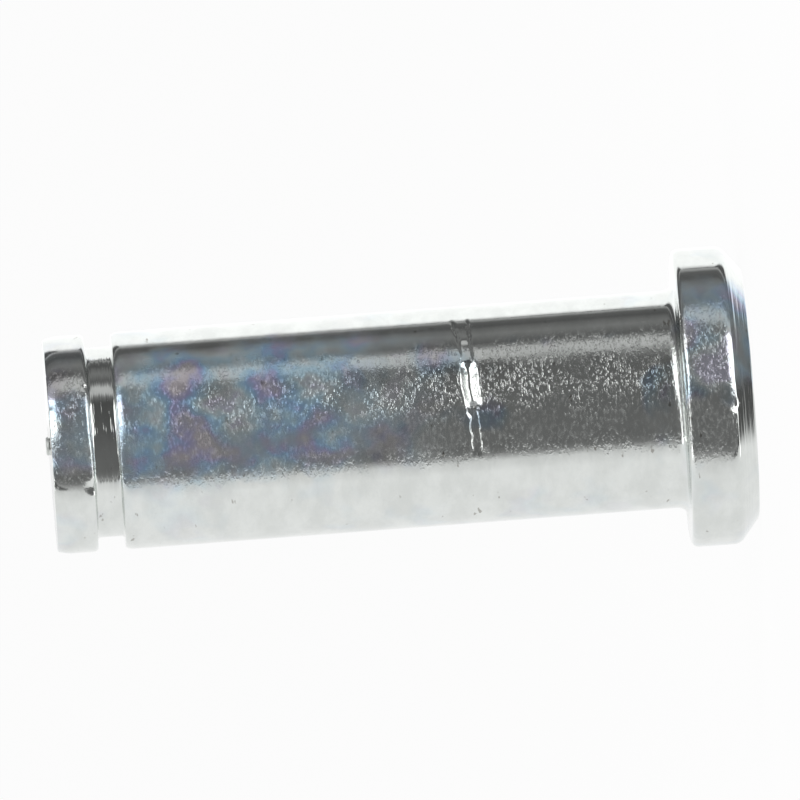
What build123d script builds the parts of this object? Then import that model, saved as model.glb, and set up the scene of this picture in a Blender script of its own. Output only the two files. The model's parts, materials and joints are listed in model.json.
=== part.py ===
from build123d import *
from math import cos, radians, sin
import os

# A clevis pin, turned in one piece from steel bar. It stands on its head: the origin is the
# centre of the head's outer face, and +Z runs along the axis to the tip. Sizes are in
# millimetres. A bearing is an angle round the axis in degrees: 0 is the front, at -Y, and it
# grows towards +X.

# Head: a short cylinder with a chamfered outer edge
HEAD_DIAMETER = 13.0
HEAD_HEIGHT = 3.0
HEAD_CHAMFER_HEIGHT = 0.87
HEAD_CHAMFER_DEPTH = 1.08
HEAD_FACE_EDGE = 0.1
HEAD_SHOULDER_ROUND = 0.5
HEAD_SEAT_ROUND = 0.3

# Shank: the working cylinder between the bearing face and the groove
SHANK_DIAMETER = 9.47
GRIP_LENGTH = 24.6
NECK_FILLET = 0.5

# Groove: holds a spring retaining clip. Its edges are broken by long, shallow chamfers.
GROOVE_WIDTH = 1.2
GROOVE_DEPTH = 0.6
GROOVE_FLOOR_FILLET = 0.16
GROOVE_EDGE_DEPTH = 0.09
GROOVE_EDGE_LENGTH = 0.25
LAND_EDGE_LENGTH = 0.13

# Tip: the land outside the groove, with the nub that parting off leaves on its end
TIP_LENGTH = 1.78
TIP_EDGE_DEPTH = 0.12
TIP_EDGE_LENGTH = 0.45
NUB_DIAMETER = 0.8
NUB_HEIGHT = 0.16
NUB_CHAMFER = 0.06

# Crease: a V-shaped gouge that runs part of the way round the shank and fades at both ends.
# It leans, climbing towards the tip as the bearing grows.
CREASE_FROM_SEAT = 9.24
CREASE_BEARING = 19.0
CREASE_HALF_SPAN = 42.0
CREASE_DEPTH = 0.22
CREASE_WIDTH = 0.8
CREASE_LEAN = 2.5

# Dents: each is struck into an edge by a round body of this diameter
DENT_BALL = 0.9
SHOULDER_DENT_BEARING = -4.0
SHOULDER_DENT_DEPTH = 0.1
LAND_CHIP_BEARING = -24.0
LAND_CHIP_DEPTH = 0.16
TIP_DENT_BEARINGS = (22.0, -9.0)
TIP_DENT_DEPTH = 0.09

# A rounding takes at most this share of the wall that it is cut in
WALL_SHARE = 0.4

head_radius = HEAD_DIAMETER / 2
shank_radius = SHANK_DIAMETER / 2
groove_radius = shank_radius - GROOVE_DEPTH
tip_edge_radius = shank_radius - TIP_EDGE_DEPTH
nub_radius = NUB_DIAMETER / 2
head_face_radius = head_radius - HEAD_CHAMFER_DEPTH
ledge = head_radius - shank_radius
rim_height = HEAD_HEIGHT - HEAD_CHAMFER_HEIGHT

groove_start = HEAD_HEIGHT + GRIP_LENGTH
land_start = groove_start + GROOVE_WIDTH
tip_end = land_start + TIP_LENGTH
nub_end = tip_end + NUB_HEIGHT


def within(size, wall):
    """A rounding's or chamfer's size, held to its share of the wall beside it."""
    return min(size, WALL_SHARE * wall)


def section_corners():
    """Corners of the half section off the axis, from the head's face to the nub: the radius
    and height of each, and how and how far it is broken."""
    groove_wall = min(GROOVE_DEPTH, GROOVE_WIDTH)
    groove_edge = shank_radius - within(GROOVE_EDGE_DEPTH, groove_wall)
    groove_floor = within(GROOVE_FLOOR_FILLET, groove_wall)
    return [
        (head_face_radius, 0, chamfer, within(HEAD_FACE_EDGE, HEAD_CHAMFER_HEIGHT)),
        (head_radius, HEAD_CHAMFER_HEIGHT, fillet, within(HEAD_SHOULDER_ROUND, rim_height)),
        (head_radius, HEAD_HEIGHT, fillet, within(HEAD_SEAT_ROUND, min(ledge, rim_height))),
        (shank_radius, HEAD_HEIGHT, fillet, within(NECK_FILLET, ledge)),
        (shank_radius, groove_start - GROOVE_EDGE_LENGTH, None, 0),
        (groove_edge, groove_start, None, 0),
        (groove_radius, groove_start, fillet, groove_floor),
        (groove_radius, land_start, fillet, groove_floor),
        (groove_edge, land_start, None, 0),
        (shank_radius, land_start + within(LAND_EDGE_LENGTH, TIP_LENGTH), None, 0),
        (shank_radius, tip_end - within(TIP_EDGE_LENGTH, TIP_LENGTH), None, 0),
        (tip_edge_radius, tip_end, None, 0),
        (nub_radius, tip_end, None, 0),
        (nub_radius, nub_end, chamfer, within(NUB_CHAMFER, NUB_HEIGHT)),
    ]


def turned_blank():
    """The whole pin as it leaves the lathe: the broken half section turned about the axis."""
    corners = section_corners()
    outline = [(radius, height) for radius, height, break_edge, size in corners]
    with BuildPart() as blank:
        with BuildSketch(Plane.XZ) as section:
            with BuildLine():
                Polyline((0, 0), *outline, (0, nub_end), close=True)
            make_face()
            for radius, height, break_edge, size in corners:
                if break_edge:
                    corner = section.vertices().sort_by_distance(Vector(radius, height))[0]
                    break_edge(corner, size)
        revolve(axis=Axis.Z)
    return blank.part


def on_bearing(radius, height, bearing):
    """The point at a radius and height, turned from the front to its bearing."""
    angle = radians(bearing)
    return Vector(radius * sin(angle), -radius * cos(angle), height)


def crease():
    """What the gouge takes out: a ring with a V-shaped inner edge, set off the axis so that it
    reaches its full depth at the gouge's middle and leaves the shank at its two ends."""
    rise = shank_radius * (1 - cos(radians(CREASE_HALF_SPAN)))
    offset = CREASE_DEPTH * (SHANK_DIAMETER - CREASE_DEPTH) / (2 * (rise - CREASE_DEPTH))
    height = HEAD_HEIGHT + CREASE_FROM_SEAT
    root_radius = shank_radius - CREASE_DEPTH + offset
    outer_radius = shank_radius + offset + 2 * CREASE_DEPTH
    half_width = CREASE_WIDTH / 2 * (outer_radius - root_radius) / CREASE_DEPTH
    centre = on_bearing(-offset, 0, CREASE_BEARING)
    with BuildPart() as ring:
        with BuildSketch(Plane.XZ):
            with BuildLine():
                Polyline(
                    (root_radius, height),
                    (outer_radius, height - half_width),
                    (outer_radius, height + half_width),
                    close=True,
                )
            make_face()
        revolve(axis=Axis.Z)
    lean_axis = Axis((0, 0, height), on_bearing(1, 0, CREASE_BEARING))
    return Pos(centre.X, centre.Y, 0) * ring.part.rotate(lean_axis, CREASE_LEAN)


def dent(radius, height, bearing, depth, slope):
    """What one blow takes out of a round edge. The slope is the way the edge faces, in degrees
    above the level, and the depth is measured along it."""
    reach = DENT_BALL / 2 - depth
    out = radians(slope)
    place = on_bearing(radius + reach * cos(out), height + reach * sin(out), bearing)
    return Pos(*place) * Sphere(DENT_BALL / 2)


def dents():
    """The four dents: on the head's shoulder, in the land's groove edge and on the tip."""
    shoulder = dent(
        head_radius, HEAD_CHAMFER_HEIGHT, SHOULDER_DENT_BEARING, SHOULDER_DENT_DEPTH, -25
    )
    land = dent(shank_radius, land_start, LAND_CHIP_BEARING, LAND_CHIP_DEPTH, -40)
    tips = [
        dent(tip_edge_radius, tip_end, bearing, TIP_DENT_DEPTH, 40)
        for bearing in TIP_DENT_BEARINGS
    ]
    return [shoulder, land] + tips


def clevis_pin():
    """The finished pin with the marks that it carries."""
    pin = turned_blank() - crease()
    for mark in dents():
        pin = pin - mark
    return pin


os.makedirs("parts", exist_ok=True)
export_step(clevis_pin(), "parts/pin.step")
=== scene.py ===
import json
import math

import bmesh
import bpy
from mathutils import Matrix, Vector

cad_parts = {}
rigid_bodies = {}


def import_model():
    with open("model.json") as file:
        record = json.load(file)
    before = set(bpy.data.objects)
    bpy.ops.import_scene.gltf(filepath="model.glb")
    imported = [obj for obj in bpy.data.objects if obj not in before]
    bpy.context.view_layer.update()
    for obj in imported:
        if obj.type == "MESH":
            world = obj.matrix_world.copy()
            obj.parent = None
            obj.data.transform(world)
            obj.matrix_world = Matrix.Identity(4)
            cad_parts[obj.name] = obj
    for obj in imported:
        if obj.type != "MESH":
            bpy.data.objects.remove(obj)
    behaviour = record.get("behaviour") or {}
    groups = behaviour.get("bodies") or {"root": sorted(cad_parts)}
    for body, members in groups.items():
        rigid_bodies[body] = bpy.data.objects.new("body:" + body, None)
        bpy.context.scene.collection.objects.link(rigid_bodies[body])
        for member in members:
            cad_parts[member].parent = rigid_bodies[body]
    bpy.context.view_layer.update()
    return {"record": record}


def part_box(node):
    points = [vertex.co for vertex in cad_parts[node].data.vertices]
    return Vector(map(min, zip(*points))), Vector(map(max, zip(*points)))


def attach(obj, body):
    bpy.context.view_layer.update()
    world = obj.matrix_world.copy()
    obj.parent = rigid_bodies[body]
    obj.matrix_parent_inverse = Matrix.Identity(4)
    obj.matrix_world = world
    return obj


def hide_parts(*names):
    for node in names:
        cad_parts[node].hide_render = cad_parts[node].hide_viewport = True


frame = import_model()

# The pin stands on its head at the origin, with its tip up. Its front, the worn side, faces -Y.
# Lengths are in metres and bearings in degrees round the axis: 0 is the front, 90 is +X.
MM = 0.001
mounts = {mount["name"]: mount for mount in frame["record"]["mounts"]}
pin_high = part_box("pin")[1]

# Main sizes, taken from the frame
HEAD_RADIUS = pin_high.x
LENGTH = pin_high.z
SHANK_RADIUS = mounts["shank"]["dims"]["r_mm"] * MM
SEAT = mounts["bearing_face"]["pos_m"][2]
GROOVE_MIDDLE = mounts["clip_groove"]["pos_m"][2]

# Smaller sizes of the section
CHAMFER_HEIGHT = 0.87 * MM
CHAMFER_DEPTH = 1.08 * MM
FACE_ROUND = 0.12 * MM
SHOULDER_ROUND = 0.5 * MM
SEAT_ROUND = 0.3 * MM
NECK_FILLET = 0.5 * MM
GROOVE_WIDTH = 1.2 * MM
GROOVE_DEPTH = 0.6 * MM
GROOVE_FLOOR_FILLET = 0.16 * MM
GROOVE_EDGE_DEPTH = 0.09 * MM
GROOVE_EDGE_LENGTH = 0.25 * MM
LAND_EDGE_LENGTH = 0.13 * MM
TIP_EDGE_DEPTH = 0.12 * MM
TIP_EDGE_LENGTH = 0.45 * MM
NUB_RADIUS = 0.4 * MM
NUB_HEIGHT = 0.16 * MM
NUB_ROUND = 0.06 * MM
CENTRE_RADIUS = 0.3 * MM

# How far the smallest rounds reach on each side of their corners
GROOVE_SLOPE_REACH = 0.1 * MM
GROOVE_LIP_REACH = 0.03 * MM
LAND_REACH = 0.05 * MM
TIP_SLOPE_REACH = 0.2 * MM
TIP_REACH = 0.05 * MM

# Corners and ends that follow from those sizes
FACE_RADIUS = HEAD_RADIUS - CHAMFER_DEPTH
GROOVE_RADIUS = SHANK_RADIUS - GROOVE_DEPTH
GROOVE_EDGE_RADIUS = SHANK_RADIUS - GROOVE_EDGE_DEPTH
TIP_EDGE_RADIUS = SHANK_RADIUS - TIP_EDGE_DEPTH
GROOVE_START = GROOVE_MIDDLE - GROOVE_WIDTH / 2
LAND_START = GROOVE_MIDDLE + GROOVE_WIDTH / 2
TIP_END = LENGTH - NUB_HEIGHT

# The mesh: how many sides the pin has, and how far apart its rings are
SIDES = 320
FACE_SPACING = 0.6 * MM
HEAD_SPACING = 0.12 * MM
SEAT_SPACING = 0.2 * MM
PLAIN_SPACING = 0.22 * MM
CREASE_SPACING = 0.04 * MM
GROOVE_WALL_SPACING = 0.1 * MM
GROOVE_FLOOR_SPACING = 0.12 * MM
LAND_SPACING = 0.1 * MM
TIP_FACE_SPACING = 0.4 * MM
MERGE_DISTANCE = 0.0005 * MM
SMOOTH_ANGLE = math.radians(50)

# The crease: a gouge across the front of the shank, in the band of closest rings
CREASE_HEIGHT = SEAT + 9.24 * MM
CREASE_ZONE = 1.1 * MM
CREASE_DEPTH = 0.21 * MM
LIP_HEIGHT = 0.035 * MM

# The bearings at which each part of it starts, is whole, begins to end and has ended
TROUGH_SPAN = (-22, -17, 0, 5)
NOTCH_SPAN = (2, 9, 25, 31)
SCRAPE_SPAN = (25, 30, 52, 62)
LIP_SPAN = (6, 14, 22, 32)

# Across the gouge, in millimetres from its root: half widths of the notch and the trough
FLANK_ABOVE = 0.33
FLANK_BELOW = 0.4
TROUGH_HALF_WIDTH = 0.22
TROUGH_WALL = 0.045

# How deep each part goes, as a share of the notch's depth. The notch's own peak is cut off flat
NOTCH_PEAK = 1.22
TROUGH_SHARE = 0.42
SCRAPE_SHARE = 0.36

# Dents struck into the edges, each (bearing, radius, height, reach). One as wide as the widest
# reach would go the full depth, and a narrower one goes less deep in proportion
DENT_DEPTH = 0.1 * MM
WIDEST_REACH = 0.42 * MM
DENTS = [
    (-4, HEAD_RADIUS, CHAMFER_HEIGHT, 0.34 * MM),
    (-24, SHANK_RADIUS, LAND_START + 0.06 * MM, 0.34 * MM),
    (22, TIP_EDGE_RADIUS, TIP_END, 0.22 * MM),
    (-9, TIP_EDGE_RADIUS, TIP_END, 0.22 * MM),
    (31, SHANK_RADIUS, LAND_START + LAND_EDGE_LENGTH, 0.16 * MM),
]


# ---------------------------------------------------------------- modelling

def deselect_all():
    for other in bpy.context.view_layer.objects:
        other.select_set(False)


def select_edges(piece, test):
    """In edit mode, selects the edges whose two ends pass the test, and no others."""
    mesh = bmesh.from_edit_mesh(piece.data)
    bpy.ops.mesh.select_all(action="DESELECT")
    for edge in mesh.edges:
        start, end = edge.verts
        if test(start.co, end.co):
            edge.select_set(True)
    bmesh.update_edit_mesh(piece.data)


def off_axis(point):
    return math.hypot(point.x, point.y)


def near(value, target, slack=0.002 * MM):
    return abs(value - target) < slack


def extrude_ring(radius, next_radius, rise):
    """Extrudes the selected ring up by a rise, then scales it to its next radius."""
    bpy.ops.mesh.extrude_edges_move(TRANSFORM_OT_translate={"value": (0, 0, rise)})
    share = next_radius / radius
    bpy.ops.transform.resize(value=(share, share, 1), center_override=(0, 0, 0))


def round_ring(piece, radius, height, reach, segments):
    """Bevels the ring of edges at a radius and height, back to a reach on each side."""
    def on_ring(start, end):
        return all(near(off_axis(p), radius) and near(p.z, height) for p in (start, end))
    select_edges(piece, on_ring)
    bpy.ops.mesh.bevel(offset=reach, offset_type="OFFSET", segments=segments, profile=0.5,
                       affect="EDGES")


def cut_band(piece, low, high, spacing):
    """Cuts rings into the band between two corners of the section, each (radius, height)."""
    def along_band(start, end):
        lower, upper = sorted(((off_axis(start), start.z), (off_axis(end), end.z)),
                              key=lambda corner: math.dist(corner, low))
        return math.dist(lower, low) < 0.003 * MM and math.dist(upper, high) < 0.003 * MM
    select_edges(piece, along_band)
    cuts = round(math.dist(low, high) / spacing) - 1
    bpy.ops.mesh.subdivide(number_cuts=max(cuts, 1))


def turned_blank():
    """The pin with clean surfaces: a small disc extruded ring by ring along the section."""
    deselect_all()
    bpy.ops.mesh.primitive_circle_add(vertices=SIDES, radius=CENTRE_RADIUS,
                                      fill_type="TRIFAN", location=(0, 0, 0))
    piece = bpy.context.object
    piece.name = "turned_pin"
    bpy.ops.object.mode_set(mode="EDIT")
    bpy.ops.mesh.select_mode(type="EDGE")
    select_edges(piece, lambda start, end: near(off_axis(start), CENTRE_RADIUS)
                 and near(off_axis(end), CENTRE_RADIUS))
    corners = [
        (CENTRE_RADIUS, 0),
        (FACE_RADIUS, 0),
        (HEAD_RADIUS, CHAMFER_HEIGHT),
        (HEAD_RADIUS, SEAT),
        (SHANK_RADIUS, SEAT),
        (SHANK_RADIUS, CREASE_HEIGHT - CREASE_ZONE),
        (SHANK_RADIUS, CREASE_HEIGHT + CREASE_ZONE),
        (SHANK_RADIUS, GROOVE_START - GROOVE_EDGE_LENGTH),
        (GROOVE_EDGE_RADIUS, GROOVE_START),
        (GROOVE_RADIUS, GROOVE_START),
        (GROOVE_RADIUS, LAND_START),
        (GROOVE_EDGE_RADIUS, LAND_START),
        (SHANK_RADIUS, LAND_START + LAND_EDGE_LENGTH),
        (SHANK_RADIUS, TIP_END - TIP_EDGE_LENGTH),
        (TIP_EDGE_RADIUS, TIP_END),
        (NUB_RADIUS, TIP_END),
        (NUB_RADIUS, LENGTH),
        (CENTRE_RADIUS, LENGTH),
    ]
    for (radius, height), (next_radius, next_height) in zip(corners, corners[1:]):
        extrude_ring(radius, next_radius, next_height - height)
    bpy.ops.mesh.extrude_edges_move(TRANSFORM_OT_translate={"value": (0, 0, 0)})
    bpy.ops.mesh.merge(type="CENTER")
    return piece


def break_edges(piece):
    """Rounds each corner of the section. On an obtuse corner the round reaches less far."""
    chamfer_slope = math.atan2(CHAMFER_HEIGHT, CHAMFER_DEPTH)
    face_reach = FACE_ROUND * math.tan(chamfer_slope / 2)
    shoulder_reach = SHOULDER_ROUND * math.tan((math.pi / 2 - chamfer_slope) / 2)
    round_ring(piece, FACE_RADIUS, 0, face_reach, 2)
    round_ring(piece, HEAD_RADIUS, CHAMFER_HEIGHT, shoulder_reach, 4)
    round_ring(piece, HEAD_RADIUS, SEAT, SEAT_ROUND, 6)
    round_ring(piece, SHANK_RADIUS, SEAT, NECK_FILLET, 7)
    round_ring(piece, SHANK_RADIUS, GROOVE_START - GROOVE_EDGE_LENGTH, GROOVE_SLOPE_REACH, 3)
    round_ring(piece, GROOVE_EDGE_RADIUS, GROOVE_START, GROOVE_LIP_REACH, 2)
    round_ring(piece, GROOVE_RADIUS, GROOVE_START, GROOVE_FLOOR_FILLET, 4)
    round_ring(piece, GROOVE_RADIUS, LAND_START, GROOVE_FLOOR_FILLET, 4)
    round_ring(piece, GROOVE_EDGE_RADIUS, LAND_START, GROOVE_LIP_REACH, 2)
    round_ring(piece, SHANK_RADIUS, LAND_START + LAND_EDGE_LENGTH, LAND_REACH, 2)
    round_ring(piece, SHANK_RADIUS, TIP_END - TIP_EDGE_LENGTH, TIP_SLOPE_REACH, 4)
    round_ring(piece, TIP_EDGE_RADIUS, TIP_END, TIP_REACH, 3)
    round_ring(piece, NUB_RADIUS, LENGTH, NUB_ROUND, 2)
    return face_reach, shoulder_reach


def cut_rings(piece, face_reach, shoulder_reach):
    """Adds rings along each stretch of the section, closest together round the crease."""
    slope = math.hypot(CHAMFER_HEIGHT, CHAMFER_DEPTH)
    out, up = CHAMFER_DEPTH / slope, CHAMFER_HEIGHT / slope
    cut_band(piece, (CENTRE_RADIUS, 0), (FACE_RADIUS - face_reach, 0), FACE_SPACING)
    cut_band(piece, (FACE_RADIUS + face_reach * out, face_reach * up),
             (HEAD_RADIUS - shoulder_reach * out, CHAMFER_HEIGHT - shoulder_reach * up),
             HEAD_SPACING)
    cut_band(piece, (HEAD_RADIUS, CHAMFER_HEIGHT + shoulder_reach),
             (HEAD_RADIUS, SEAT - SEAT_ROUND), HEAD_SPACING)
    cut_band(piece, (HEAD_RADIUS - SEAT_ROUND, SEAT),
             (SHANK_RADIUS + NECK_FILLET, SEAT), SEAT_SPACING)
    cut_band(piece, (SHANK_RADIUS, SEAT + NECK_FILLET),
             (SHANK_RADIUS, CREASE_HEIGHT - CREASE_ZONE), PLAIN_SPACING)
    cut_band(piece, (SHANK_RADIUS, CREASE_HEIGHT - CREASE_ZONE),
             (SHANK_RADIUS, CREASE_HEIGHT + CREASE_ZONE), CREASE_SPACING)
    cut_band(piece, (SHANK_RADIUS, CREASE_HEIGHT + CREASE_ZONE),
             (SHANK_RADIUS, GROOVE_START - GROOVE_EDGE_LENGTH - GROOVE_SLOPE_REACH),
             PLAIN_SPACING)
    cut_band(piece, (GROOVE_EDGE_RADIUS - GROOVE_LIP_REACH, GROOVE_START),
             (GROOVE_RADIUS + GROOVE_FLOOR_FILLET, GROOVE_START), GROOVE_WALL_SPACING)
    cut_band(piece, (GROOVE_RADIUS, GROOVE_START + GROOVE_FLOOR_FILLET),
             (GROOVE_RADIUS, LAND_START - GROOVE_FLOOR_FILLET), GROOVE_FLOOR_SPACING)
    cut_band(piece, (GROOVE_RADIUS + GROOVE_FLOOR_FILLET, LAND_START),
             (GROOVE_EDGE_RADIUS - GROOVE_LIP_REACH, LAND_START), GROOVE_WALL_SPACING)
    cut_band(piece, (SHANK_RADIUS, LAND_START + LAND_EDGE_LENGTH + LAND_REACH),
             (SHANK_RADIUS, TIP_END - TIP_EDGE_LENGTH - TIP_SLOPE_REACH), LAND_SPACING)
    cut_band(piece, (TIP_EDGE_RADIUS - TIP_REACH, TIP_END),
             (NUB_RADIUS, TIP_END), TIP_FACE_SPACING)


def bearing_of(point):
    return math.degrees(math.atan2(point.x, -point.y))


def smooth_step(low, high, value):
    share = min(max((value - low) / (high - low), 0), 1)
    return share * share * (3 - 2 * share)


def sink(piece, depth, share_of):
    """Sinks the surface by a depth, times the share that a function gives for each place.
    A negative depth raises it."""
    group = piece.vertex_groups.new(name="sunk")
    for vertex in piece.data.vertices:
        share = share_of(vertex.co)
        if share > 0:
            group.add([vertex.index], share, "REPLACE")
    press = piece.modifiers.new("press", "DISPLACE")
    press.direction = "NORMAL"
    press.mid_level = 0
    press.strength = -depth
    press.vertex_group = group.name
    deselect_all()
    bpy.context.view_layer.objects.active = piece
    piece.select_set(True)
    bpy.ops.object.modifier_apply(modifier=press.name)
    piece.vertex_groups.clear()


def crease_line(bearing):
    """Height of the gouge's root at a bearing: it climbs, and wanders a little."""
    climb = (0.2 * smooth_step(-14, 22, bearing) - 0.16 + 0.001 * max(bearing - 22, 0)) * MM
    wander = 0.015 * MM * math.sin(bearing * 0.5) + 0.01 * MM * math.sin(bearing * 1.3 + 1)
    return CREASE_HEIGHT + climb + wander


def along(span, bearing):
    """One over the whole part of a span of bearings, falling to nought at its two ends."""
    start, whole, ending, end = span
    return smooth_step(start, whole, bearing) * (1 - smooth_step(ending, end, bearing))


def ridge(distance, half_width):
    """One in the middle, falling evenly to nought at the half width and below it beyond."""
    return 1 - abs(distance) / half_width


def notch_share(bearing, above):
    """The gouge's middle: a V with the longer flank towards the head and a narrow flat root."""
    flank = FLANK_ABOVE if above > 0 else FLANK_BELOW
    return along(NOTCH_SPAN, bearing) * min(max(0, NOTCH_PEAK * ridge(above, flank)), 1)


def trough_share(bearing, above):
    """Its lower end: a shallow trough with steep walls, the upper of them uneven."""
    side = above - 0.05
    edge = TROUGH_HALF_WIDTH
    if side > 0:
        edge += 0.04 * math.sin(bearing * 0.7)
    wall = min(max(0, (edge - abs(side)) / TROUGH_WALL), 1)
    return TROUGH_SHARE * along(TROUGH_SPAN, bearing) * wall


def scrape_share(bearing, above):
    """Its upper end: two scores that part, and a flat scrape between them."""
    split = 0.1 + 0.012 * (bearing - 30)
    scored = max(0, ridge(above + 0.22, 0.1), 0.8 * ridge(above - split, 0.13))
    flat = 0.5 * smooth_step(0.3, 0.22, abs(above)) * (1 - smooth_step(40, 44, bearing))
    return SCRAPE_SHARE * along(SCRAPE_SPAN, bearing) * max(scored, flat)


def by_crease(point):
    """Whether a place is in front, between the gouge's two ends, and in its band of rings."""
    in_front = TROUGH_SPAN[0] < bearing_of(point) < SCRAPE_SPAN[3]
    return in_front and abs(point.z - CREASE_HEIGHT) <= CREASE_ZONE


def crease_share(point):
    """How deep the gouge is at a place, as a share of its full depth."""
    if not by_crease(point):
        return 0
    bearing = bearing_of(point)
    above = (point.z - crease_line(bearing)) / MM
    return max(notch_share(bearing, above), trough_share(bearing, above),
               scrape_share(bearing, above))


def lip_share(point):
    """How far metal is pushed up at a place beside the gouge, as a share of the lip's height."""
    if not by_crease(point):
        return 0
    bearing = bearing_of(point)
    above = (point.z - crease_line(bearing)) / MM
    gap = above - 0.4 if above > 0 else -above - 0.46
    lip = 0.5 * along(LIP_SPAN, bearing) * max(0, ridge(gap, 0.1))
    # One lump of metal stands where the trough meets the notch
    lump = ridge(math.hypot((bearing - 3.4) * 0.083, above + 0.1), 0.18)
    return max(lip, lump)


def dent_share(point):
    """How deep the dents are at a place, as a share of their depth."""
    share = 0
    for bearing, radius, height, reach in DENTS:
        turn = math.radians(bearing)
        place = Vector((radius * math.sin(turn), -radius * math.cos(turn), height))
        gap = (point - place).length / reach
        share = max(share, (1 - gap * gap) * reach / WIDEST_REACH)
    return share


turned_pin = turned_blank()
cut_rings(turned_pin, *break_edges(turned_pin))
bpy.ops.mesh.select_all(action="SELECT")
bpy.ops.mesh.remove_doubles(threshold=MERGE_DISTANCE)
bpy.ops.mesh.normals_make_consistent(inside=False)
bpy.ops.object.mode_set(mode="OBJECT")
sink(turned_pin, CREASE_DEPTH, crease_share)
sink(turned_pin, -LIP_HEIGHT, lip_share)
sink(turned_pin, DENT_DEPTH, dent_share)
bpy.ops.object.shade_smooth_by_angle(angle=SMOOTH_ANGLE)


# ---------------------------------------------------------------- finish

class Nodes:
    """Short calls for a node tree."""

    def __init__(self, tree):
        self.tree = tree

    def add(self, kind, **settings):
        node = self.tree.nodes.new(kind)
        for name, value in settings.items():
            setattr(node, name, value)
        return node

    def feed(self, socket, value):
        if isinstance(value, bpy.types.NodeSocket):
            self.tree.links.new(value, socket)
        else:
            socket.default_value = value

    def math(self, operation, *values):
        node = self.add("ShaderNodeMath", operation=operation)
        for socket, value in zip(node.inputs, values):
            self.feed(socket, value)
        return node.outputs[0]

    def spread(self, value, low, high):
        """Nought at the low limit and one at the high one, which may be the lesser."""
        node = self.add("ShaderNodeMapRange", interpolation_type="SMOOTHSTEP")
        for socket, setting in zip(node.inputs, (value, low, high, 0.0, 1.0)):
            self.feed(socket, setting)
        return node.outputs[0]

    def ramp(self, factor, stops):
        node = self.add("ShaderNodeValToRGB")
        node.color_ramp.interpolation = "LINEAR"
        elements = node.color_ramp.elements
        while len(elements) < len(stops):
            elements.new(0.5)
        for element, (place, tone) in zip(elements, stops):
            element.position = place
            element.color = (tone, tone, tone, 1) if isinstance(tone, (int, float)) else (*tone, 1)
        self.feed(node.inputs[0], factor)
        return node.outputs[0]

    def blend(self, factor, low, high, mode="MIX"):
        node = self.add("ShaderNodeMix", data_type="RGBA", blend_type=mode)
        self.feed(node.inputs["Factor"], factor)
        for socket, value in ((node.inputs[6], low), (node.inputs[7], high)):
            self.feed(socket, value if isinstance(value, bpy.types.NodeSocket) else (*value, 1))
        return node.outputs[2]

    def noise(self, place, scale, detail=2.0, roughness=0.5):
        node = self.add("ShaderNodeTexNoise")
        self.feed(node.inputs["Vector"], place)
        self.feed(node.inputs["Scale"], scale)
        self.feed(node.inputs["Detail"], detail)
        self.feed(node.inputs["Roughness"], roughness)
        return node.outputs["Fac"]


def window(nodes, value, low, high, edge):
    """One where a value lies between two limits, falling to nought over an edge outside."""
    rise = nodes.spread(value, low - edge, low)
    fall = nodes.spread(value, high, high + edge)
    return nodes.math("SUBTRACT", rise, fall)


# Where the finish changes along the pin, in millimetres
GROOVE_LOW = GROOVE_START / MM
GROOVE_HIGH = LAND_START / MM
TIP_HEIGHT = TIP_END / MM
END_MARGIN = 0.03
CORNER_FADE = 0.02

# Where it changes round the pin: between two bearings, and over how many degrees outside them
PITTED_SIDE = (-20, 36, 10)
ROUGH_SIDE = (-13, 22, 10)
FILM_BELOW_GROOVE = (-12, 44, 16)
FILM_ON_HEAD = (14, 44, 14)
FILM_ON_LAND = (-10, 20, 14)
RAGGED_DEGREES = 34.0

# How fine each pattern is: cells to the metre
PIT_SCALE = 4400
CROWD_SCALE = 620
WAVE_SCALE = 900
RAGGED_SCALE = 420
LINE_SCALE = 6500
PATCH_SCALE = 430
SPOT_SCALE = 600
SCATTER_SCALE = 380
SMUDGE_SCALE = 480
STAIN_SCALE = 1300

# Relief: the height of a full bump, and how much deeper the tool's lines are than the pits
BUMP_HEIGHT = 0.0000085
CHAMFER_LINES = 2.5
GROOVE_LINES_MORE = 3.0

# Colours of the metal, and of the film from its thinnest patches to its thickest
DULL_ZINC = (0.73, 0.755, 0.735)
PALE_ZINC = (0.82, 0.845, 0.825)
STAIN = (0.45, 0.45, 0.42)
FILM_TINTS = [
    (0.36, (0.76, 0.69, 0.75)), (0.43, (0.58, 0.56, 0.88)), (0.49, (0.46, 0.69, 1.0)),
    (0.55, (0.62, 0.84, 1.0)), (0.62, (0.8, 0.88, 0.94)), (0.69, (0.68, 0.64, 0.84)),
]

# Roughness of clean plate, how much wear adds to it, and that of the nub left by parting off
CLEAN_ROUGHNESS = 0.1
WEAR_ROUGHNESS = 0.14
NUB_ROUGHNESS = 0.6


def pit_pattern(nodes, point, stretched):
    """Fine pits, thick in some places and thin in others."""
    pits = nodes.spread(nodes.noise(stretched, PIT_SCALE, 2.0, 0.6), 0.46, 0.72)
    crowd = nodes.spread(nodes.noise(point, CROWD_SCALE, 2.0), 0.34, 0.58)
    return nodes.math("MULTIPLY", pits, nodes.math("MULTIPLY_ADD", crowd, 0.5, 0.5))


def turning_lines(nodes, radius, bearing, z):
    """The tool's lines: noise that changes with radius and height, and hardly with bearing."""
    section = nodes.add("ShaderNodeCombineXYZ")
    nodes.feed(section.inputs[0], radius)
    nodes.feed(section.inputs[1], nodes.math("MULTIPLY", bearing, 0.000004))
    nodes.feed(section.inputs[2], z)
    return nodes.noise(section.outputs[0], LINE_SCALE, 2.0)


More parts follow.
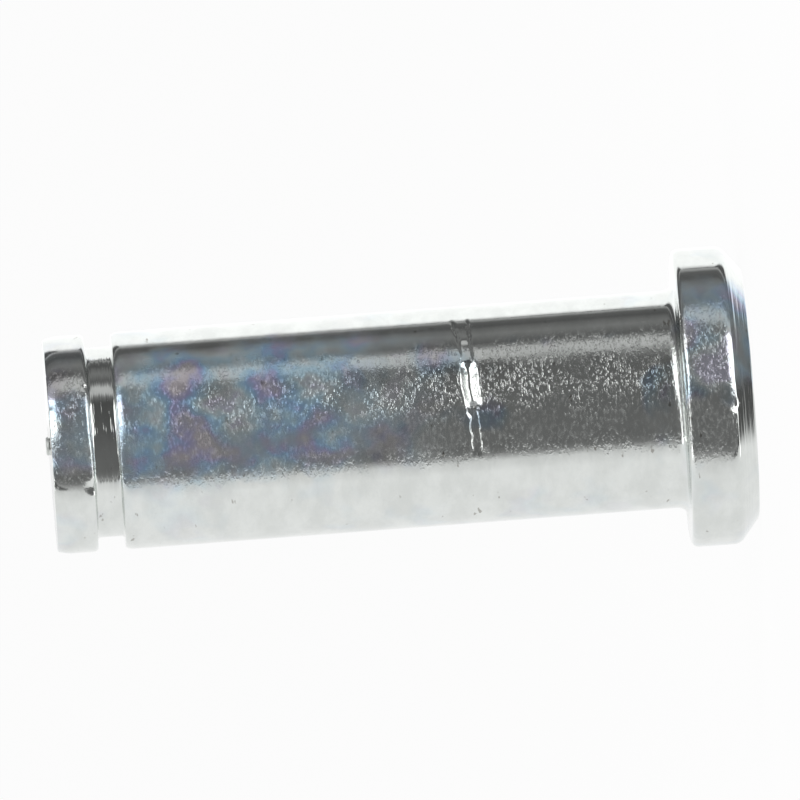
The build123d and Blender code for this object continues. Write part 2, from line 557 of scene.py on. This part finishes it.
def film_strength(nodes, point, height, ragged):
    """How strong the film is: most below the groove, less on the head and on the land."""
    below_groove = nodes.math("MULTIPLY", nodes.spread(height, 12.0, 20.0),
                              nodes.spread(height, GROOVE_LOW + 0.1, GROOVE_LOW - 0.1))
    below_groove = nodes.math("MULTIPLY", below_groove, window(nodes, ragged, *FILM_BELOW_GROOVE))
    on_head = nodes.math("MULTIPLY", nodes.spread(height, 3.0, 2.6),
                         window(nodes, ragged, *FILM_ON_HEAD))
    on_head = nodes.math("MULTIPLY", on_head, 0.7)
    on_land = nodes.math("MULTIPLY", nodes.spread(height, GROOVE_HIGH - 0.1, GROOVE_HIGH + 0.2),
                         window(nodes, ragged, *FILM_ON_LAND))
    on_land = nodes.math("MULTIPLY", on_land, 0.6)
    film = nodes.math("MAXIMUM", below_groove, nodes.math("MAXIMUM", on_head, on_land))
    spots = nodes.spread(nodes.noise(point, SPOT_SCALE, 3.0), 0.34, 0.58)
    return nodes.math("MULTIPLY", film, nodes.math("MULTIPLY_ADD", spots, 0.5, 0.5))


def zinc_colour(nodes, point, stretched, smudge, film, pitted):
    """Pale zinc with duller smudges and a few stains, tinted where the film shows."""
    plain = nodes.blend(smudge, DULL_ZINC, PALE_ZINC)
    stains = nodes.spread(nodes.noise(stretched, STAIN_SCALE, 2.0), 0.7, 0.76)
    plain = nodes.blend(stains, plain, STAIN)
    tints = nodes.ramp(nodes.noise(point, PATCH_SCALE, 3.0, 0.5), FILM_TINTS)
    coloured = nodes.blend(1.0, plain, tints, mode="MULTIPLY")
    # Faint tints lie scattered outside the film too, mostly on the worn side
    scattered = nodes.spread(nodes.noise(point, SCATTER_SCALE, 2.0), 0.52, 0.66)
    scattered = nodes.math("MULTIPLY", scattered, nodes.math("MULTIPLY_ADD", pitted, 0.45, 0.1))
    return nodes.blend(nodes.math("MAXIMUM", film, scattered), plain, coloured)


def zinc_plate():
    """Bright zinc over turned steel: fine bright pits, turning lines on the chamfer and in
    the groove, and a passivate film that shows blue, violet and brown in patches."""
    material = bpy.data.materials.new("zinc_plate")
    material.use_nodes = True
    nodes = Nodes(material.node_tree)
    shader = material.node_tree.nodes["Principled BSDF"]
    point = nodes.add("ShaderNodeTexCoord").outputs["Object"]
    split = nodes.add("ShaderNodeSeparateXYZ")
    nodes.feed(split.inputs[0], point)
    x, y, z = split.outputs
    height = nodes.math("DIVIDE", z, MM)
    radius = nodes.math("SQRT", nodes.math("ADD", nodes.math("MULTIPLY", x, x),
                                           nodes.math("MULTIPLY", y, y)))
    bearing = nodes.math("ARCTAN2", x, nodes.math("MULTIPLY", y, -1.0))
    bearing = nodes.math("MULTIPLY", bearing, 180 / math.pi)

    # On these coordinates a pattern is half as long along the pin as round it
    mapping = nodes.add("ShaderNodeMapping")
    nodes.feed(mapping.inputs["Vector"], point)
    mapping.inputs["Scale"].default_value = (1, 1, 2)
    stretched = mapping.outputs[0]

    # Masks: wear and film end in ragged borders and keep off the pin's two end faces
    drift = nodes.math("SUBTRACT", nodes.noise(point, RAGGED_SCALE, 3.0, 0.6), 0.5)
    ragged = nodes.math("MULTIPLY_ADD", drift, RAGGED_DEGREES, bearing)
    on_side = window(nodes, height, END_MARGIN, TIP_HEIGHT - END_MARGIN, CORNER_FADE)
    pitted = nodes.math("MULTIPLY", window(nodes, ragged, *PITTED_SIDE), on_side)
    pitted = nodes.math("MAXIMUM", pitted, 0.06)
    on_chamfer = nodes.spread(height, 1.0, 0.8)
    in_groove = window(nodes, height, GROOVE_LOW + CORNER_FADE, GROOVE_HIGH - CORNER_FADE,
                       CORNER_FADE)
    turned = nodes.math("MAXIMUM", on_chamfer, in_groove)
    untouched = nodes.math("SUBTRACT", 1.0, turned)

    # Relief: slow waves all over, the tool's lines where they show, and pits elsewhere
    pits = nodes.math("MULTIPLY", pit_pattern(nodes, point, stretched), pitted)
    pits = nodes.math("MULTIPLY", pits, untouched)
    bumps = nodes.math("MULTIPLY_ADD", nodes.noise(stretched, WAVE_SCALE, 1.0), 0.5, pits)
    cut = nodes.math("MULTIPLY_ADD", in_groove, GROOVE_LINES_MORE, CHAMFER_LINES)
    cut = nodes.math("MULTIPLY", turning_lines(nodes, radius, bearing, z), cut)
    bumps = nodes.math("ADD", bumps, nodes.math("MULTIPLY", turned, cut))
    bump = nodes.add("ShaderNodeBump")
    bump.inputs["Strength"].default_value = 1.0
    bump.inputs["Distance"].default_value = BUMP_HEIGHT
    nodes.feed(bump.inputs["Height"], bumps)
    nodes.feed(shader.inputs["Normal"], bump.outputs[0])

    # Colour, and metal that reads a little less bright under film and pits
    smudge = nodes.spread(nodes.noise(stretched, SMUDGE_SCALE, 4.0, 0.6), 0.3, 0.7)
    film = nodes.math("MULTIPLY", film_strength(nodes, point, height, ragged), on_side)
    colour = zinc_colour(nodes, point, stretched, smudge, film, pitted)
    nodes.feed(shader.inputs["Base Color"], colour)
    metallic = nodes.math("MULTIPLY_ADD", film, -0.28, 1.0)
    metallic = nodes.math("MULTIPLY_ADD", pits, -0.16, metallic)
    nodes.feed(shader.inputs["Metallic"], metallic)

    # Roughness: the worn side is duller, and the nub is torn metal
    worn = nodes.math("MULTIPLY", window(nodes, ragged, *ROUGH_SIDE), untouched)
    worn = nodes.math("MULTIPLY", worn, on_side)
    worn = nodes.math("MULTIPLY_ADD", worn, WEAR_ROUGHNESS, CLEAN_ROUGHNESS)
    on_nub = nodes.spread(height, TIP_HEIGHT + 0.01, TIP_HEIGHT + 0.05)
    rough = nodes.math("MAXIMUM", worn, nodes.math("MULTIPLY", on_nub, NUB_ROUGHNESS))
    nodes.feed(shader.inputs["Roughness"], nodes.math("MULTIPLY_ADD", smudge, -0.03, rough))
    return material


turned_pin.data.materials.append(zinc_plate())
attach(turned_pin, "root")
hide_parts("pin")


# ---------------------------------------------------------------- studio

# What the metal reflects in the level plane of the camera, by the angle from the camera's side
# towards +X, in degrees: a pale table below and behind, a dark room, and a grey strip of ceiling
STUDIO_TONES = [
    (-180, 0.95), (-140, 0.88), (-65, 0.86), (-52, 0.7), (-43, 0.19), (-36, 0.14), (-10, 0.13),
    (20, 0.1), (50, 0.08), (58, 0.18), (61, 0.5), (71, 0.52), (75, 0.22), (80, 0.11),
    (93, 0.2), (102, 0.14), (106, 0.09), (114, 0.12), (119, 0.5), (124, 1.16), (180, 1.16),
]
TABLE_TILT = math.radians(35.5)
ROOM_TONE = (0.09, 0.09, 0.09)

# The table ends along the pin: its tone is whole up to one slope and gone at another, less so
# low down, and a direction counts as over the table from a little above its plane
TABLE_WHOLE_SLOPE = 1.2
TABLE_GONE_SLOPE = 2.3
TABLE_WIDER_BELOW = 0.7
TABLE_MARGIN = 0.12

# The lamps: name, direction from the pin's middle, width and height in metres, brightness
LAMP_DISTANCE = 0.4
LAMPS = [
    ("softbox_tip_side", (0.39, -0.62, 0.68), 0.26, 0.28, 2.3),
    ("softbox_head_side", (0.39, -0.62, -0.68), 0.26, 0.28, 2.3),
    ("strip_tip_side", (-0.22, -0.33, 0.92), 0.3, 0.09, 1.8),
    ("strip_head_side", (-0.22, -0.33, -0.92), 0.3, 0.09, 1.8),
]

FLOOR_RADIUS = 4.5
FLOOR_SIDES = 96
FLOOR_COLOUR = (0.9, 0.9, 0.9, 1)
FLOOR_ROUGHNESS = 0.9
FLOOR_GLOW = 0.95

CAMERA_DISTANCE = 1.2
CAMERA_RISE = 30.3 * MM
CAMERA_ROLL = 4.31
CAMERA_AIM = Vector((0.86 * MM, 0, LENGTH / 2 - 0.16 * MM))
VIEW_WIDTH = 34.86 * MM


def studio_world():
    """White where the camera sees it directly. Elsewhere the studio's tones by direction."""
    world = bpy.data.worlds.new("studio")
    bpy.context.scene.world = world
    world.use_nodes = True
    tree = world.node_tree
    nodes = Nodes(tree)
    direction = nodes.add("ShaderNodeTexCoord").outputs["Generated"]
    split = nodes.add("ShaderNodeSeparateXYZ")
    nodes.feed(split.inputs[0], direction)
    x, y, z = split.outputs
    angle = nodes.math("ARCTAN2", x, nodes.math("MULTIPLY", y, -1.0))
    turn = nodes.math("MULTIPLY_ADD", angle, 0.5 / math.pi, 0.5)
    stops = [((angle + 180) / 360, tone) for angle, tone in STUDIO_TONES]
    level = nodes.ramp(turn, stops)
    # The table is only so wide along the pin, and beyond its ends the room is dark
    down = nodes.math("MULTIPLY", y, math.cos(TABLE_TILT))
    down = nodes.math("MULTIPLY_ADD", x, -math.sin(TABLE_TILT), down)
    reach = nodes.math("ADD", down, TABLE_MARGIN)
    slant = nodes.math("DIVIDE", nodes.math("ABSOLUTE", z), nodes.math("MAXIMUM", reach, 0.01))
    low_down = nodes.spread(x, -0.15, -0.5)
    wider_below = nodes.math("MULTIPLY_ADD", low_down, -TABLE_WIDER_BELOW, 1.0)
    slant = nodes.math("MULTIPLY", slant, wider_below)
    over_table = nodes.spread(slant, TABLE_GONE_SLOPE, TABLE_WHOLE_SLOPE)
    inside = nodes.math("MAXIMUM", over_table, nodes.math("LESS_THAN", reach, 0.0))
    level = nodes.blend(inside, ROOM_TONE, level)
    reflected = tree.nodes["Background"]
    nodes.feed(reflected.inputs["Color"], level)
    white = nodes.add("ShaderNodeBackground")
    white.inputs["Color"].default_value = (1, 1, 1, 1)
    path = nodes.add("ShaderNodeLightPath")
    mix = nodes.add("ShaderNodeMixShader")
    nodes.feed(mix.inputs[0], path.outputs["Is Camera Ray"])
    nodes.feed(mix.inputs[1], reflected.outputs[0])
    nodes.feed(mix.inputs[2], white.outputs[0])
    nodes.feed(tree.nodes["World Output"].inputs["Surface"], mix.outputs[0])


def softbox(name, towards, width, height, brightness):
    """An area lamp that faces the pin's middle from a direction."""
    lamp = bpy.data.lights.new(name, "AREA")
    lamp.shape = "RECTANGLE"
    lamp.size = width
    lamp.size_y = height
    lamp.energy = brightness * math.pi * width * height
    lamp_object = bpy.data.objects.new(name, lamp)
    bpy.context.collection.objects.link(lamp_object)
    towards = Vector(towards).normalized()
    lamp_object.location = Vector((0, 0, LENGTH / 2)) + towards * LAMP_DISTANCE
    lamp_object.rotation_mode = "QUATERNION"
    lamp_object.rotation_quaternion = towards.to_track_quat("Z", "Y")
    lamp_object.visible_camera = False


def pale_floor():
    """A pale disc under the head. The camera sees it white, with the pin's shadow on it."""
    deselect_all()
    bpy.ops.mesh.primitive_circle_add(vertices=FLOOR_SIDES, radius=FLOOR_RADIUS,
                                      fill_type="NGON")
    floor = bpy.context.object
    floor.name = "floor"
    floor.visible_glossy = False
    floor.visible_shadow = False
    material = bpy.data.materials.new("pale_floor")
    material.use_nodes = True
    nodes = Nodes(material.node_tree)
    shader = material.node_tree.nodes["Principled BSDF"]
    shader.inputs["Base Color"].default_value = FLOOR_COLOUR
    shader.inputs["Roughness"].default_value = FLOOR_ROUGHNESS
    glow = nodes.add("ShaderNodeEmission")
    mix = nodes.add("ShaderNodeMixShader")
    path = nodes.add("ShaderNodeLightPath")
    seen = nodes.math("MULTIPLY", path.outputs["Is Camera Ray"], FLOOR_GLOW)
    nodes.feed(mix.inputs[0], seen)
    nodes.feed(mix.inputs[1], shader.outputs[0])
    nodes.feed(mix.inputs[2], glow.outputs[0])
    output = material.node_tree.nodes["Material Output"]
    nodes.feed(output.inputs["Surface"], mix.outputs[0])
    floor.data.materials.append(material)


def product_camera():
    """A long lens on the front, rolled so that the pin lies across the picture, head right."""
    camera = bpy.data.cameras.new("camera")
    camera_object = bpy.data.objects.new("camera", camera)
    bpy.context.collection.objects.link(camera_object)
    place = CAMERA_AIM + Vector((0, -CAMERA_DISTANCE, CAMERA_RISE))
    back = (place - CAMERA_AIM).normalized()
    roll = math.radians(CAMERA_ROLL)
    right = Vector((math.cos(roll), 0, -math.sin(roll))).cross(back).normalized()
    up = back.cross(right)
    turn = Matrix((right, up, back)).transposed().to_4x4()
    camera_object.matrix_world = Matrix.Translation(place) @ turn
    camera.lens = camera.sensor_width * (place - CAMERA_AIM).length / VIEW_WIDTH
    camera.clip_start = 0.1
    camera.clip_end = 10
    bpy.context.scene.camera = camera_object


studio_world()
for lamp_settings in LAMPS:
    softbox(*lamp_settings)
pale_floor()
product_camera()
bpy.context.scene.view_settings.view_transform = "Standard"
